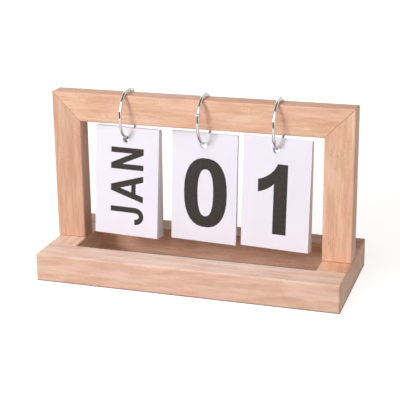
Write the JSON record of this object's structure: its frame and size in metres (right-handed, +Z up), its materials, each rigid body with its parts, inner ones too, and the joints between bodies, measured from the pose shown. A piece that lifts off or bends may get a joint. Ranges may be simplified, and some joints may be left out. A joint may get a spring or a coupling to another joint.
{
  "type": "perpetual desk calendar",
  "caption": "Wooden desk calendar: an upright frame on a hollow base, with flip cards for month and date hung on chrome rings over the top rail.",
  "frame": {"origin": "middle of the underside of the base", "axes": "+X to the right as one reads the cards, +Y to the back, +Z up"},
  "size_m": [0.25, 0.1084, 0.1514],
  "materials": {
    "base_wood": "satin, eased edges",
    "post_wood": "satin, grain upright",
    "rail_wood": "satin, grain lengthwise",
    "dowel_wood": "plain",
    "ring_chrome": "polished nickel",
    "pin_steel": "plain",
    "card": "smooth white card"
  },
  "bodies": {
    "stand": {"base_front_rail": "base_wood", "base_back_rail": "base_wood", "base_left_rail": "base_wood", "base_right_rail": "base_wood", "left_post": "post_wood", "right_post": "post_wood", "top_rail": "rail_wood", "base_dowels_left": "dowel_wood", "base_dowels_right": "dowel_wood", "post_dowels_left": "dowel_wood", "post_dowels_right": "dowel_wood", "mitre_dowels_left": "dowel_wood", "mitre_dowels_right": "dowel_wood"},
    "month_ring_upper": {"month_ring_upper": "ring_chrome", "month_ring_pin": "pin_steel"},
    "month_ring_lower": {"month_ring_lower": "ring_chrome"},
    "month_front_card": {"month_card_jan": "card"},
    "month_card_pack": {"month_card_feb": "card", "month_card_mar": "card", "month_card_apr": "card", "month_card_may": "card", "month_card_jun": "card", "month_card_jul": "card", "month_card_aug": "card", "month_card_sep": "card", "month_card_oct": "card", "month_card_nov": "card", "month_card_dec": "card"},
    "tens_ring_upper": {"tens_ring_upper": "ring_chrome", "tens_ring_pin": "pin_steel"},
    "tens_ring_lower": {"tens_ring_lower": "ring_chrome"},
    "tens_front_card": {"tens_card_0": "card"},
    "tens_card_pack": {"tens_card_1": "card", "tens_card_2": "card", "tens_card_3": "card"},
    "ones_ring_upper": {"ones_ring_upper": "ring_chrome", "ones_ring_pin": "pin_steel"},
    "ones_ring_lower": {"ones_ring_lower": "ring_chrome"},
    "ones_front_card": {"ones_card_1": "card"},
    "ones_card_pack": {"ones_card_2": "card", "ones_card_3": "card", "ones_card_4": "card", "ones_card_5": "card", "ones_card_6": "card", "ones_card_7": "card", "ones_card_8": "card", "ones_card_9": "card", "ones_card_0": "card"}
  },
  "joints": [
    {"name": "month_ring_slide", "type": "slide", "parent": "stand", "child": "month_ring_upper", "axis": [1, 0, 0], "range_m": [-0.011, 0.003]},
    {"name": "month_ring_open", "type": "hinge", "parent": "month_ring_upper", "child": "month_ring_lower", "pos_m": [-0.06154, 0.01005, 0.14802], "axis": [1, 0, 0], "range_deg": [0, 70]},
    {"name": "month_card_flip", "type": "hinge", "parent": "month_ring_lower", "child": "month_front_card", "pos_m": [-0.06154, 0, 0.13062], "axis": [-1, 0, 0], "range_deg": [0, 92]},
    {"name": "month_pack_swing", "type": "hinge", "parent": "month_ring_lower", "child": "month_card_pack", "pos_m": [-0.06154, 0, 0.13062], "axis": [1, 0, 0], "range_deg": [0, 112]},
    {"name": "tens_ring_slide", "type": "slide", "parent": "stand", "child": "tens_ring_upper", "axis": [1, 0, 0], "range_m": [-0.004, 0.002]},
    {"name": "tens_ring_open", "type": "hinge", "parent": "tens_ring_upper", "child": "tens_ring_lower", "pos_m": [0.00303, -0.01889, 0.13749], "axis": [1, 0, 0], "range_deg": [-70, 0]},
    {"name": "tens_card_flip", "type": "hinge", "parent": "tens_ring_lower", "child": "tens_front_card", "pos_m": [0.00303, 0, 0.13062], "axis": [-1, 0, 0], "range_deg": [0, 98]},
    {"name": "tens_pack_swing", "type": "hinge", "parent": "tens_ring_lower", "child": "tens_card_pack", "pos_m": [0.00303, 0, 0.13062], "axis": [1, 0, 0], "range_deg": [0, 121]},
    {"name": "ones_ring_slide", "type": "slide", "parent": "stand", "child": "ones_ring_upper", "axis": [1, 0, 0], "range_m": [-0.002, 0.007]},
    {"name": "ones_ring_open", "type": "hinge", "parent": "ones_ring_upper", "child": "ones_ring_lower", "pos_m": [0.06374, 0.01584, 0.14299], "axis": [1, 0, 0], "range_deg": [0, 70]},
    {"name": "ones_card_flip", "type": "hinge", "parent": "ones_ring_lower", "child": "ones_front_card", "pos_m": [0.06374, 0, 0.13062], "axis": [-1, 0, 0], "range_deg": [0, 88]},
    {"name": "ones_pack_swing", "type": "hinge", "parent": "ones_ring_lower", "child": "ones_card_pack", "pos_m": [0.06374, 0, 0.13062], "axis": [1, 0, 0], "range_deg": [0, 118]}
  ]
}
